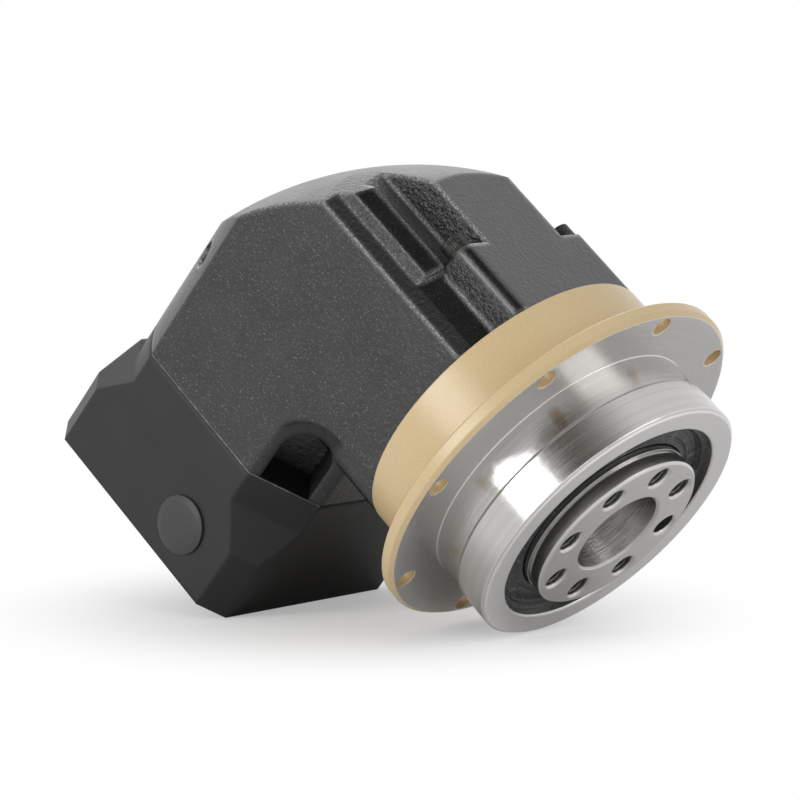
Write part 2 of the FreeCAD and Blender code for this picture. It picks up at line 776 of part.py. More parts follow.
def make_planet_stage():
    thinning = size("flank_gap").value / 2
    hollow = internal_gear_wire(RING_PITCH, RING_TEETH, PLANET_ANGLES[0], thinning)
    ring_front = PLATE_BACK - size("plate_gap")
    toothed("ring_gear", [circle_wire(RING_GEAR), hollow], RING_GEAR_BACK, ring_front - RING_GEAR_BACK)
    for i, angle in enumerate(PLANET_ANGLES):
        number = i + 1
        first, second = on_circle(PLANET_CIRCLE, angle)
        teeth = external_gear_wire(PLANET_PITCH, PLANET_TEETH, angle, thinning)
        bore = circle_wire(PLANET_BORE)
        gear = toothed(f"planet_gear_{number}", [teeth, bore], PLANET_BACK, size("planet_width"))
        gear.Placement.Base = Vector(PLANET_BACK.value, first.value, second.value)
        needles = []
        for j in range(NEEDLES):
            step_y, step_z = on_circle(NEEDLE_CIRCLE, 360 * j / NEEDLES)
            needles.append(rod(f"needle_{number}_{j}", size("needle_dia"), PLANET_BACK, PLANET_FRONT, "X",
                               (first + step_y, second + step_z)))
        group(f"planet_needles_{number}", needles)
    sun_front = PLANET_FRONT
    sun_back = PLANET_BACK - size("wall_gap")
    wire = external_gear_wire(SUN_PITCH, SUN_TEETH, PLANET_ANGLES[0], thinning)
    teeth = toothed("sun_teeth", [wire], sun_back, sun_front - sun_back)
    seat = size("sun_bearing_bore") / 2
    collar = (size("sun_bearing_bore") + size("sun_bearing_dia")) / 4 - size("sun_collar_drop")
    gear_seat = size("bevel_bore") / 2
    neck = SUN_ROOT - size("race_gap")
    bearing_front = SUN_FRONT_BEARING + size("sun_bearing_width")
    edge = size("edge_chamfer")
    shaft = turned("sun_shank", [
        (sun_back, 0), (sun_back, neck), (SUN_WALL, neck), (SUN_WALL, collar), (bearing_front, collar),
        (bearing_front, seat), (SUN_REAR_BEARING, seat), (SUN_REAR_BEARING, gear_seat),
        (BEVEL_NUT_END + edge, gear_seat), (BEVEL_NUT_END, gear_seat - edge), (BEVEL_NUT_END, 0)])
    fused("sun_shaft", [teeth, shaft])


# Bevel pair: the apex of both pitch cones is where the two axes cross

def make_bevel_gear():
    teeth = doc.addObject("Part::Feature", "bevel_teeth")
    teeth.Shape = spiral_bevel(0.0, 1)
    teeth.Placement = Placement(Vector(INPUT_X.value, 0, 0), Rotation(Vector(0, 1, 0), 90))
    hub = rod("bevel_hub", size("bevel_hub_dia"), BEVEL_BACK, SUN_REAR_BEARING)
    bore = rod("bevel_gear_bore", size("bevel_bore"), BEVEL_TIP, SUN_REAR_BEARING)
    cut("bevel_gear", fused("bevel_blank", [teeth, hub]), [bore])
    flats = size("bevel_bore") + size("bevel_nut_wall") * 2
    nut = hexagon("bevel_nut_blank", flats, BEVEL_NUT_END, BEVEL_TIP, "X", (0, 0))
    thread = rod("bevel_nut_thread", size("bevel_bore"), BEVEL_NUT_END, BEVEL_TIP)
    cut("bevel_nut", nut, [thread])


def make_input_shaft():
    teeth = doc.addObject("Part::Feature", "pinion_teeth")
    half_pitch = 180 / BEVEL_TEETH
    teeth.Shape = spiral_bevel(half_pitch, -1)
    teeth.Placement = Placement(Vector(INPUT_X.value, 0, 0), Rotation(Vector(1, 0, 0), 180))
    hub = size("pinion_hub_dia") / 2
    seat = size("input_bearing_bore") / 2
    clamp = size("clamp_hub_dia") / 2
    bore = size("clamp_bore") / 2
    end = CLAMP_HUB_END
    edge = size("edge_chamfer")
    bore_top = end + size("clamp_bore_depth")
    shank = turned("input_shank", [
        (PINION_BACK, 0), (PINION_BACK, hub), (UPPER_BEARING_TOP, hub), (UPPER_BEARING_TOP, seat),
        (CAVITY_TOP, seat), (CAVITY_TOP, clamp), (end, clamp), (end, bore + edge), (end + edge, bore),
        (bore_top, bore), (bore_top, 0)], "Z", (INPUT_X, 0, 0))
    half = size("clamp_slit") / 2
    reach = clamp + size("wall_gap")
    slit = block("clamp_slit_cut", (INPUT_X - reach, -half, end),
                 (INPUT_X + reach, half, end + size("clamp_slit_depth")))
    cut("input_shaft", fused("input_body", [teeth, shank]), [slit])
    nut_blank = ring("input_nut_blank", seat, size("input_nut_dia") / 2, INPUT_NUT_BOTTOM, LOWER_BEARING, "Z",
                     (INPUT_X, 0, 0))
    slots = []
    nut = size("input_nut_dia") / 2
    half = size("nut_slot_width") / 2
    reach = nut - size("nut_slot_depth") + half
    for i, (side_x, side_y) in enumerate(((1, 0), (-1, 0), (0, 1), (0, -1))):
        x = INPUT_X + reach * side_x
        y = reach * side_y
        slots.append(block(f"input_nut_slot_{i}", (x - half, y - half, INPUT_NUT_BOTTOM),
                           (x + half, y + half, LOWER_BEARING)))
    cut("input_nut", nut_blank, slots)


def make_clamp():
    collar = size("collar_dia") / 2
    hub = size("clamp_hub_dia") / 2
    low = ACCESS - size("collar_width") / 2
    high = low + size("collar_width")
    blank = ring("clamp_collar_blank", hub, collar, low, high, "Z", (INPUT_X, 0, 0))
    half = size("collar_slit") / 2
    slit = block("collar_slit_cut", (INPUT_X + hub / 2, -half, low), (INPUT_X + collar + half, half, high))
    seat = -size("clamp_head_depth")
    room = size("screw_head_dia") + size("counterbore_gap")
    counterbore = rod("collar_counterbore", room, -collar, seat, "Y", (ACCESS_X, ACCESS))
    hole = rod("collar_thread", size("screw_dia"), -collar, collar, "Y", (ACCESS_X, ACCESS))
    cut("clamp_collar", blank, [slit, counterbore, hole])
    cap_screw("clamp_screw", "screw", seat, size("clamp_screw_length"), "Y", (ACCESS_X, ACCESS), -1)


# Cast housing: fluted barrel on the output axis, neck on the input axis, back rounded by one large ball

def corners(upper, lower):
    """A closed section from the points of one upper and one lower corner, mirrored to the other side."""
    right_top = upper
    left_top = [(-as_size(y), z) for y, z in reversed(upper)]
    left_low = [(-as_size(y), -as_size(z)) for y, z in lower]
    right_low = [(y, -as_size(z)) for y, z in reversed(lower)]
    return right_top + left_top + left_low + right_low


def neck_outline(half, front_chamfer, back_chamfer):
    """Plan of the neck about the input axis: a square with its corners taken off."""
    front = INPUT_X + half
    back = INPUT_X - half
    points = [(front, half - front_chamfer), (front - front_chamfer, half)]
    if as_size(back_chamfer).value > 0:
        points += [(back + back_chamfer, half), (back, half - back_chamfer)]
    else:
        points += [(back, half)]
    return points + [(x, -y) for x, y in reversed(points)]


def loft(label, low, high, start, end):
    """A ruled piece between two plans at two heights."""
    body = doc.addObject("PartDesign::Body", label)
    bottom = outline(body, "XY_Plane", low, f"{label}_low")
    top = outline(body, "XY_Plane", high, f"{label}_high")
    bind(top, "AttachmentOffset.Base.z", end - start)
    ruled = body.newObject("PartDesign::AdditiveLoft", f"{label}_loft")
    ruled.Profile = bottom
    ruled.Sections = [top]
    ruled.Ruled = True
    place(body, (0, 0, start))
    return body


def cone(label, low, high, start, end, centre):
    """A round piece along Z whose radius goes from low to high."""
    thing = doc.addObject("Part::Cone", label)
    bind(thing, "Radius1", low)
    bind(thing, "Radius2", high)
    bind(thing, "Height", end - start)
    place(thing, (*centre, start))
    return thing


def round_neck(label, start, end, edge_at_start):
    """The neck between two heights, round at the back and bevelled at its edge on the parting plane."""
    bevel = size("parting_bevel")
    chamfer = size("neck_chamfer")
    full = neck_outline(SIDE, chamfer, 0)
    inset = neck_outline(SIDE - bevel, chamfer - bevel * CORNER_INSET, 0)
    centre = (BACK_ARC_X, 0)
    if edge_at_start:
        mark = start + bevel
        straight = prism(f"{label}_straight", full, "XY_Plane", mark, end - mark)
        edge = loft(f"{label}_edge", inset, full, start, mark)
        back = rod(f"{label}_back", BACK_ARC * 2, mark, end, "Z", centre)
        back_edge = cone(f"{label}_back_edge", BACK_ARC - bevel, BACK_ARC, start, mark, centre)
    else:
        mark = end - bevel
        straight = prism(f"{label}_straight", full, "XY_Plane", start, mark - start)
        edge = loft(f"{label}_edge", full, inset, mark, end)
        back = rod(f"{label}_back", BACK_ARC * 2, start, mark, "Z", centre)
        back_edge = cone(f"{label}_back_edge", BACK_ARC, BACK_ARC - bevel, mark, end, centre)
    return common(label, fused(f"{label}_plan", [straight, edge]), fused(f"{label}_round", [back, back_edge]))


def corner_pocket(label, side):
    """An arched pocket square to the neck's corner face, which gives room to reach a lower screw."""
    half = size("pocket_width") / 2
    spare = size("wall_gap")
    depth = size("pocket_depth") + spare
    spring = PARTING + size("pocket_spring")
    turn = Rotation(Vector(0, 0, 1), (CORNER_ANGLE - 180) * side)
    lean = math.cos(math.radians(CORNER_ANGLE))
    x = INPUT_X + SIDE - size("neck_chamfer") + size("pocket_middle") + spare * lean
    y = (SIDE - size("pocket_middle") + spare * lean) * side
    arch = doc.addObject("Part::Cylinder", f"{label}_arch")
    bind(arch, "Radius", half)
    bind(arch, "Height", depth)
    place(arch, (x, y, spring), turn.multiply(ROUND_TURNS["X"]))
    walls = doc.addObject("Part::Box", f"{label}_walls")
    bind(walls, "Length", depth)
    bind(walls, "Width", half * 2)
    bind(walls, "Height", spring - PARTING)
    place(walls, (x - half * lean * side, y + half * lean, PARTING), turn)
    return fused(label, [arch, walls])


def make_gear_housing():
    side = SIDE
    edge = (side, FLUTE_EDGE)
    foot = (side - size("flute_foot_inset"), SCREW_HEIGHT - size("flute_foot_drop"))
    ledge = (side - size("ledge_inset"), SCREW_HEIGHT - size("ledge_drop"))
    crest = (SCREW_SIDE + size("crest_offset"), SCREW_HEIGHT - size("crest_drop"))
    floor = SCREW_HEIGHT - size("channel_drop")
    channel = (SCREW_SIDE + size("channel_offset"), floor)
    wall = SCREW_SIDE - size("channel_inner")
    rim = (SCREW_SIDE, TOP)
    front = [edge, foot, (SCREW_SIDE + BOSS, floor), (SCREW_SIDE + BOSS, SCREW_HEIGHT), rim]
    upper = [edge, foot, ledge, crest, channel, (wall + size("channel_taper"), floor), (wall, TOP)]
    lower = [edge, foot, ledge, crest, rim]
    reach = BACK_ARC - BACK_ARC_X - size("ball_centre_back") + size("ball_spare")
    ball = doc.addObject("Part::Sphere", "housing_ball")
    bind(ball, "Radius", reach)
    place(ball, (-size("ball_centre_back"), 0, -size("ball_centre_drop")))

    barrel_front = prism("barrel_front", corners(front, front), "YZ_Plane", SEAT, JOINT - SEAT)
    barrel_back = prism("barrel_back", corners(upper, lower), "YZ_Plane", BACK_FACE, SEAT - BACK_FACE)
    round_back = rod("round_back", BACK_ARC * 2, -(TOP * 2), TOP * 2, "Z", (BACK_ARC_X, 0))
    straight = block("straight_sides", (BACK_ARC_X, -side, -(TOP * 2)), (SEAT, side, TOP * 2))
    barrel_plan = fused("barrel_plan", [round_back, straight])
    barrel = common("barrel_rounded", barrel_back, barrel_plan)
    pieces = [barrel_front, barrel, round_neck("housing_neck", PARTING, as_size(0), True)]

    arch_back = -(size("arch_front") + size("arch_radius"))
    arch_front = -size("arch_front")
    arch_low = -(FLUTE_EDGE + size("arch_radius"))
    arch_dia = size("arch_radius") * 2
    web_inner = side - size("neck_chamfer")
    for name, low_y, high_y in (("left", -side, -web_inner), ("right", web_inner, side)):
        web = block(f"arch_web_{name}", (arch_back, low_y, arch_low), (arch_front, high_y, -FLUTE_EDGE))
        hollow = rod(f"arch_hollow_{name}", arch_dia, low_y, high_y, "Y", (arch_front, arch_low))
        pieces.append(cut(f"arch_{name}", web, [hollow]))
    for i, place_yz in enumerate(ring_screw_places()):
        pieces.append(rod(f"screw_boss_{i}", size("boss_dia"), SEAT, JOINT, "X", place_yz))
    outside = common("housing_outside", fused("housing_mass", pieces), ball)

    tools = [corner_pocket("left_pocket", -1), corner_pocket("right_pocket", 1)]
    trough = size("ring_screw_head_dia") + size("trough_gap")
    screw_hole = size("ring_screw_dia") + size("hole_gap")
    for i, (y, z) in enumerate(ring_screw_places()):
        if z.value < 0:
            tools.append(rod(f"screw_trough_{i}", trough, -size("lower_trough_back"), SEAT, "X", (y, z)))
        tools.append(rod(f"screw_hole_{i}", screw_hole, SEAT, JOINT, "X", (y, z)))
    relief = RING_TIP + size("wall_gap")
    lip = size("sun_bearing_dia") / 2 - size("clip_reach")
    bearing_seat = size("sun_bearing_dia") / 2
    clip_groove = bearing_seat + size("clip_depth")
    bearing_front = SUN_FRONT_BEARING + size("sun_bearing_width")
    lip_back = SUN_REAR_BEARING - size("wall_gap")
    chamber = BEVEL_PITCH + size("bevel_room")
    chamber_back = BEVEL_NUT_END - size("nut_gap")
    tools.append(turned("output_side_hollow", [
        (JOINT, 0), (JOINT, RING_GEAR), (RING_GEAR_BACK, RING_GEAR), (RING_GEAR_BACK, relief),
        (SUN_WALL, relief), (SUN_WALL, clip_groove), (bearing_front, clip_groove),
        (bearing_front, bearing_seat), (SUN_REAR_BEARING, bearing_seat), (SUN_REAR_BEARING, lip),
        (lip_back, lip), (lip_back, chamber), (chamber_back, chamber), (chamber_back, 0)]))
    input_seat = size("input_bearing_dia") / 2
    input_groove = input_seat + size("clip_depth")
    clip_top = UPPER_BEARING_TOP + size("clip_width")
    chamber_top = PINION_TIP + size("pinion_gap")
    tools.append(turned("input_side_hollow", [
        (PARTING, 0), (PARTING, input_seat), (UPPER_BEARING_TOP, input_seat), (UPPER_BEARING_TOP, input_groove),
        (clip_top, input_groove), (clip_top, input_seat), (chamber_top, input_seat), (chamber_top, 0)],
        "Z", (INPUT_X, 0, 0)))
    thread_top = ADAPTER_SEAT + size("adapter_screw_length") + size("thread_spare")
    for i, place_xy in enumerate(adapter_screw_places()):
        tools.append(rod(f"adapter_thread_{i}", size("screw_dia"), PARTING, thread_top, "Z", place_xy))
    oil_depth = size("oil_plug_length") + size("oil_plug_recess")
    oil_hole = rod("oil_hole", size("oil_plug_dia"), 0, oil_depth + size("oil_hole_reach"), "X")
    oil_place(oil_hole, oil_depth)
    tools.append(oil_hole)
    cut("gear_housing", outside, tools)


def oil_place(thing, depth):
    """Set a thing's start at that depth under the round back, pointing out of it."""
    angle = 180 + DRIVING["oil_plug_angle"]
    reach = BACK_ARC - depth
    x, y = on_circle(reach, angle)
    turn = Rotation(Vector(0, 0, 1), angle).multiply(ROUND_TURNS["X"])
    place(thing, (BACK_ARC_X + x, y, -size("oil_plug_drop")), turn)


def adapter_screw_places():
    """The four screws that hold the adapter to the housing, in plan."""
    reach = SIDE - size("adapter_screw_rim")
    return [(INPUT_X + reach, as_size(0)), (INPUT_X - reach, as_size(0)), (INPUT_X, reach), (INPUT_X, -reach)]


def make_motor_adapter():
    centre = (INPUT_X, 0, 0)
    low_chamfer = size("block_chamfer")
    high_chamfer = size("neck_chamfer")
    block_plan = neck_outline(SIDE, low_chamfer, low_chamfer)
    neck_plan = neck_outline(SIDE, high_chamfer, high_chamfer)
    foot = prism("adapter_block", block_plan, "XY_Plane", MOTOR_FACE, BLOCK_TOP - MOTOR_FACE)
    flare = loft("adapter_flare", block_plan, neck_plan, BLOCK_TOP, FLARE_TOP)
    neck = round_neck("adapter_neck", FLARE_TOP, PARTING, False)
    nut_space = size("nut_space_dia") / 2
    seal = size("input_seal_dia") / 2
    cavity = size("cavity_dia") / 2
    pilot = size("motor_pilot_dia") / 2
    pilot_floor = MOTOR_FACE + size("motor_pilot_depth")
    spigot = ring("adapter_spigot", nut_space, size("input_bearing_dia") / 2 - size("spigot_gap"), PARTING,
                  LOWER_BEARING, "Z", centre)
    tools = [turned("adapter_hollow", [
        (PARTING, 0), (PARTING, nut_space), (NUT_SPACE_BOTTOM, nut_space), (NUT_SPACE_BOTTOM, seal),
        (CAVITY_TOP, seal), (CAVITY_TOP, cavity), (pilot_floor, cavity), (pilot_floor, pilot),
        (MOTOR_FACE, pilot), (MOTOR_FACE, 0)], "Z", centre)]
    corner = (SIDE * 2 - low_chamfer) / math.sqrt(2)
    hole_top = MOTOR_FACE + size("motor_hole_depth")
    for i in range(MOTOR_HOLES):
        first, second = on_circle(corner - size("motor_hole_rim"), CORNER_ANGLE + 360 * i / MOTOR_HOLES)
        tools.append(rod(f"motor_hole_{i}", size("motor_hole_dia"), MOTOR_FACE, hole_top, "Z",
                         (INPUT_X + first, second)))
    screws = []
    screw_hole = size("screw_dia") + size("hole_gap")
    counterbore = size("screw_head_dia") + size("counterbore_gap")
    length = size("adapter_screw_length")
    for i, place_xy in enumerate(adapter_screw_places()):
        tools.append(rod(f"adapter_hole_{i}", screw_hole, ADAPTER_SEAT, PARTING, "Z", place_xy))
        tools.append(rod(f"adapter_counterbore_{i}", counterbore, MOTOR_FACE, ADAPTER_SEAT, "Z", place_xy))
        screws.append(cap_screw(f"adapter_screw_{i}", "screw", ADAPTER_SEAT, length, "Z", place_xy, -1))
    tools.append(rod("access_hole", size("access_hole_dia"), -SIDE, 0, "Y", (ACCESS_X, ACCESS)))
    cut("motor_adapter", fused("adapter_mass", [foot, flare, neck, spigot]), tools)
    group("adapter_screws", screws)
    shank = size("access_hole_dia") / 2
    rim = shank + size("plug_lip")
    under = -SIDE - size("plug_rim")
    crown = under - size("plug_crown")
    inner = -SIDE + size("plug_depth")
    turned("access_plug", [
        (crown, 0), (crown, size("plug_crown_flat")),
        (under - size("plug_crown_step"), size("plug_crown_edge")), (under, rim), (-SIDE, rim), (-SIDE, shank),
        (inner, shank), (inner, 0)], "Y", (ACCESS_X, 0, ACCESS))


# Small pieces that seat in the housings

def make_small_pieces():
    for name, start in (("front", FRONT_BEARING), ("rear", REAR_BEARING)):
        bearing(name, "X", start, size("output_dia"), OUTPUT_BEARING * 2, size("output_bearing_width"),
                size("output_ball_dia"), OUTPUT_BALLS)
    for name, start in (("sun_front", SUN_FRONT_BEARING), ("sun_rear", SUN_REAR_BEARING)):
        bearing(name, "X", start, size("sun_bearing_bore"), size("sun_bearing_dia"), size("sun_bearing_width"),
                size("sun_ball_dia"), SHAFT_BALLS)
    for name, start in (("input_upper", UPPER_BEARING), ("input_lower", LOWER_BEARING)):
        bearing(name, "Z", start, size("input_bearing_bore"), size("input_bearing_dia"),
                size("input_bearing_width"), size("input_ball_dia"), SHAFT_BALLS, (INPUT_X, 0, 0))
    circlip("output_circlip", OUTPUT_BEARING * 2, SEAL_BACK - size("clip_width"))
    circlip("sun_circlip", size("sun_bearing_dia"), SUN_WALL - size("clip_width"))
    circlip("input_circlip", size("input_bearing_dia"), UPPER_BEARING_TOP, "Z", (INPUT_X, 0, 0))
    shaft = size("output_dia") / 2 + size("lip_gap")
    seal = size("seal_dia") / 2
    wall = size("seal_wall")
    well = SEAL_FRONT - wall
    lip_front = SEAL_FRONT - size("lip_front")
    lip_back = size("lip_back")
    turned("output_seal", [
        (SEAL_BACK, seal), (SEAL_FRONT, seal), (SEAL_FRONT, seal - wall),
        (well, seal - wall - size("seal_taper")), (well, shaft + size("lip_rise")),
        (lip_front, shaft + size("lip_crest")),
        (lip_front, shaft + size("lip_edge")), (well, shaft), (SEAL_FRONT - lip_back, shaft + wall),
        (SEAL_BACK, shaft + lip_back)])
    shaft = size("input_bearing_bore") / 2 + size("lip_gap")
    seal = size("input_seal_dia") / 2
    turned("input_seal", [
        (NUT_SPACE_BOTTOM, seal), (INPUT_SEAL_BOTTOM, seal), (INPUT_SEAL_BOTTOM, shaft + size("lip_crest")),
        (INPUT_SEAL_BOTTOM + wall, shaft), (INPUT_SEAL_BOTTOM + lip_back, shaft + wall),
        (NUT_SPACE_BOTTOM, shaft + lip_back)], "Z", (INPUT_X, 0, 0))
    screws = []
    washers = []
    head_seat = SEAT - size("washer_thick")
    length = size("ring_screw_length")
    inner = size("ring_screw_dia") / 2
    outer = inner + size("washer_lip")
    for i, (y, z) in enumerate(ring_screw_places()):
        screws.append(cap_screw(f"ring_screw_{i}", "ring_screw", head_seat, length, "X", (y, z), -1))
        washers.append(ring(f"ring_washer_{i}", inner, outer, head_seat, SEAT, "X", (0, y, z)))
    group("ring_screws", screws)
    group("ring_screw_washers", washers)
    blank = rod("oil_plug_blank", size("oil_plug_dia"), 0, size("oil_plug_length"), "X")
    oil_place(blank, size("oil_plug_length") + size("oil_plug_recess"))
    socket = hexagon("oil_plug_socket", size("screw_socket"), 0, size("screw_socket_depth"), "X", (0, 0))
    oil_place(socket, size("screw_socket_depth") + size("oil_plug_recess"))
    cut("oil_plug", blank, [socket])


NODES = [
    "ring_gear_housing", "gear_housing", "motor_adapter", "output_seal", "output_circlip", "ring_gear",
    "sun_circlip", "input_circlip", "input_seal", "access_plug", "oil_plug", "ring_screws",
    "ring_screw_washers", "adapter_screws", "output_carrier", "carrier_plate", "planet_pins", "sun_shaft",
    "bevel_gear", "bevel_nut", "input_shaft", "clamp_collar", "clamp_screw", "input_nut"]
NODES += [f"planet_gear_{i + 1}" for i in range(PLANETS)]
NODES += [f"planet_needles_{i + 1}" for i in range(PLANETS)]
for bearing_name in ("front", "rear", "sun_front", "sun_rear", "input_upper", "input_lower"):
    NODES += [f"{bearing_name}_{piece}" for piece in ("outer_ring", "inner_ring", "balls")]


def check_and_write():
    """Stop on any failed object, then write one file for each piece."""
    for thing in doc.Objects:
        failed = [state for state in thing.State if state in ("Invalid", "Error")]
        if failed:
            raise RuntimeError(f"{thing.Name} failed: {failed}")
    os.makedirs("parts", exist_ok=True)
    for node in NODES:
        piece = doc.getObject(node)
        piece.Label = node
        if piece.Shape.isNull() or not piece.Shape.isValid():
            raise RuntimeError(f"{node} has no valid shape")
    for node in NODES:
        doc.getObject(node).Shape.exportStep(f"parts/{node}.step")


make_ring_gear_housing()
make_output()
make_planet_stage()
make_bevel_gear()
make_input_shaft()
make_clamp()
make_gear_housing()
make_motor_adapter()
make_small_pieces()
doc.recompute()
check_and_write()
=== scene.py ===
import json
import math

import bpy
import numpy as np
from mathutils import Matrix, Vector


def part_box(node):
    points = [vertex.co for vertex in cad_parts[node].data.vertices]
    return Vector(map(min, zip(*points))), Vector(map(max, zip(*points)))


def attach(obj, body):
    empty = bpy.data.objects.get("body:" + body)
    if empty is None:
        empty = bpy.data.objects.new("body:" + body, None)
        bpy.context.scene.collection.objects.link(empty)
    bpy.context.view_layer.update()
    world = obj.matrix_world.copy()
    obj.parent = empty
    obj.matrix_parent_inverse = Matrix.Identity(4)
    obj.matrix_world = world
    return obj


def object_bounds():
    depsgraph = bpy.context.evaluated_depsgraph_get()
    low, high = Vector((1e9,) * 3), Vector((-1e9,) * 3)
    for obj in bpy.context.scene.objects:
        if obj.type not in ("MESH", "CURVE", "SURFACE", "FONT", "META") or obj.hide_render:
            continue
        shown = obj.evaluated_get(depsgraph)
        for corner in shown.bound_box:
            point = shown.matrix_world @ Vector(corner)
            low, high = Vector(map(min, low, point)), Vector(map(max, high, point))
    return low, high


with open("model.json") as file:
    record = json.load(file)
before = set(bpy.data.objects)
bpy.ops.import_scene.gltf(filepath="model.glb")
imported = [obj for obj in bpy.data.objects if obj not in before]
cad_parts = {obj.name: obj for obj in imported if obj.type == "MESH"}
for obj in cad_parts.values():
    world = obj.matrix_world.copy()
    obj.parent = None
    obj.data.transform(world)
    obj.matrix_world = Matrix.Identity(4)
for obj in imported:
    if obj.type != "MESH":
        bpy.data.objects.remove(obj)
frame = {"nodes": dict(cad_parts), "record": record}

CAD_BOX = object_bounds()
NODES = frame["nodes"]
MM = 0.001
OUTPUT_AXIS = (1, 0, 0)
ACROSS = (0, 1, 0)
UPWARD = (0, 0, 1)

# Camera, found by matching the round edges and hole circles of the flange
CAMERA_PLACE = Vector((0.311791, -0.644588, 0.395968))
CAMERA_RIGHT = Vector((0.590425, 0.639220, 0.492743))
CAMERA_UP = Vector((-0.691164, 0.085196, 0.717659))
CAMERA_BACK = Vector((0.416762, -0.764290, 0.492108))
LENS_MM = 180.0
SENSOR_MM = 36.0

# Sizes and places of the pieces, read from the frame; the flange's front face is at x = 0
ADAPTER_LOW, ADAPTER_HIGH = (Vector(corner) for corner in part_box("motor_adapter"))
PARTING, HOUSING_TOP = (corner[2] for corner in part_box("gear_housing"))
PILOT_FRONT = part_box("ring_gear_housing")[1][0]
OUTPUT_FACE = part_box("output_carrier")[1][0]
MOUNTS = {mount["name"]: mount for mount in frame["record"]["mounts"]}
PILOT_RADIUS = MOUNTS["housing_pilot"]["dims"]["r_mm"] * MM
OUTPUT_CIRCLE = MOUNTS["output_bolts"]["dims"]["pcd_mm"] * MM / 2
OUTPUT_HOLE = MOUNTS["output_bolts"]["dims"]["hole_r_mm"] * MM
BORE_RADIUS = MOUNTS["output_bore"]["dims"]["r_mm"] * MM
SCREWS_HIGH = Vector(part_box("ring_screw_washers")[1])
WASHER_RADIUS = 2.8 * MM
SCREW_SIDE = SCREWS_HIGH.y - WASHER_RADIUS
SCREW_HEIGHT = SCREWS_HIGH.z - WASHER_RADIUS

# The casting's corners with the flutes and the screws begin here, counted from the output axis
CORNER_SIDE = SCREW_SIDE - 5.6 * MM
CORNER_HEIGHT = SCREW_HEIGHT - 8.9 * MM

# The gearbox lies tilted, on the adapter's front edge and the rim of the pilot
REST_HEEL = Vector((ADAPTER_HIGH.x, 0, ADAPTER_LOW.z))
REST_RIM = Vector((PILOT_FRONT, 0, -PILOT_RADIUS))
FLOOR_ALONG = (REST_RIM - REST_HEEL).normalized()
FLOOR_ACROSS = Vector(ACROSS)
FLOOR_UP = Vector((-FLOOR_ALONG.z, 0, FLOOR_ALONG.x))
CAMERA_SIDE = (CAMERA_BACK - FLOOR_UP * CAMERA_BACK.dot(FLOOR_UP)).normalized()
MIDDLE = Vector(np.mean(CAD_BOX, axis=0))

# Middles of the shadow on the floor, as the camera sees it and as bare steel mirrors it
REST_MIDDLE = (REST_HEEL + REST_RIM) / 2
SEEN_SHADOW = REST_MIDDLE - FLOOR_ALONG * (15 * MM)
MIRRORED_SHADOW = REST_MIDDLE + FLOOR_ACROSS * (50 * MM)


def grey(level):
    """A colour without hue."""
    return (level, level, level, 1)


class Signal:
    """A socket of a node tree. Arithmetic on it adds Math nodes, and node adds a node of any other kind."""

    def __init__(self, tree, socket=None):
        self.tree = tree
        self.socket = socket

    def node(self, kind, settings=None, inputs=None, out=0):
        """Add a node, set its settings first, then its sockets' values or links, and wrap one output."""
        made = self.tree.nodes.new(kind)
        for name, value in (settings or {}).items():
            setattr(made, name, value)
        for name, value in (inputs or {}).items():
            if isinstance(value, Signal):
                self.tree.links.new(value.socket, made.inputs[name])
            else:
                made.inputs[name].default_value = value
        return Signal(self.tree, made.outputs[out] if made.outputs else None)

    def other(self, out):
        """Another output of the node that this socket belongs to."""
        return Signal(self.tree, self.socket.node.outputs[out])

    def math(self, operation, *values, clamp=False):
        """A Math node on the values."""
        settings = {"operation": operation, "use_clamp": clamp}
        return self.node("ShaderNodeMath", settings, dict(enumerate(values)))

    def vector_math(self, operation, *values, out=0):
        """A Vector Math node on the values."""
        return self.node("ShaderNodeVectorMath", {"operation": operation}, dict(enumerate(values)), out)

    def __add__(self, other):
        return self.math("ADD", self, other)

    def __radd__(self, other):
        return self.math("ADD", other, self)

    def __sub__(self, other):
        return self.math("SUBTRACT", self, other)

    def __rsub__(self, other):
        return self.math("SUBTRACT", other, self)

    def __mul__(self, other):
        return self.math("MULTIPLY", self, other)

    def __rmul__(self, other):
        return self.math("MULTIPLY", other, self)

    def absolute(self):
        """The value without its sign."""
        return self.math("ABSOLUTE", self)

    def sine(self):
        """The sine of an angle."""
        return self.math("SINE", self)

    def over(self, limit):
        """1 where the value is above the limit, else 0."""
        return self.math("GREATER_THAN", self, limit)

    def ramp(self, low, high):
        """0 below low, 1 above high, smooth between."""
        return self.node("ShaderNodeMapRange", {"interpolation_type": "SMOOTHSTEP"},
                         {"Value": self, "From Min": low, "From Max": high})

    def share_of(self, direction):
        """How far this vector runs in a direction, from -1 to 1 for unit vectors."""
        return self.vector_math("DOT_PRODUCT", self, direction, out="Value")

    def distance(self, point):
        """Distance of this place from a point."""
        return self.vector_math("DISTANCE", self, point, out="Value")

    def blend(self, first, second):
        """The first colour where the value is 0 and the second where it is 1."""
        factor, colour_a, colour_b, colour_out = 0, 6, 7, 2
        inputs = {factor: self, colour_a: first, colour_b: second}
        return self.node("ShaderNodeMix", {"data_type": "RGBA"}, inputs, colour_out)


